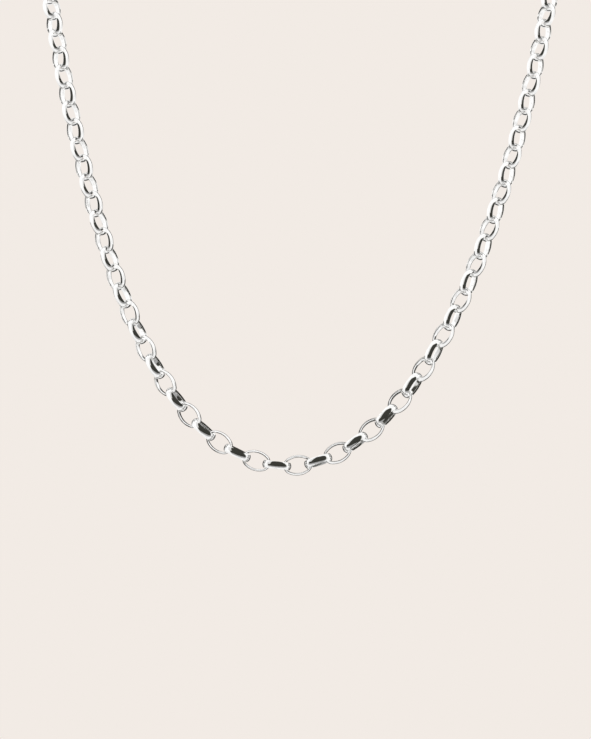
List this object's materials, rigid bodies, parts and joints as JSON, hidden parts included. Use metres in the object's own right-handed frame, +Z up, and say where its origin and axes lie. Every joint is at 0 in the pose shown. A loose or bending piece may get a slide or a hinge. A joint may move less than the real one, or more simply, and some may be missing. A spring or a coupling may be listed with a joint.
{
  "type": "rolo chain necklace",
  "caption": "Closed neck chain of oval half-round silver links, each hanging at a quarter turn in the next, shown worn in a U, with a plain ring clasp at the nape.",
  "frame": {"origin": "middle line of the necklace at the nape, where the back of the necklace rests on the neck", "axes": "+X to the wearer's left, +Y to the wearer's back, +Z up"},
  "size_m": [0.1333, 0.0982, 0.1578],
  "materials": {
    "links": "polished sterling silver",
    "clasp": "polished sterling silver"
  },
  "bodies": {
    "root": {"chain_front": "links", "chain_back": "links", "clasp": "clasp"}
  },
  "joints": []
}
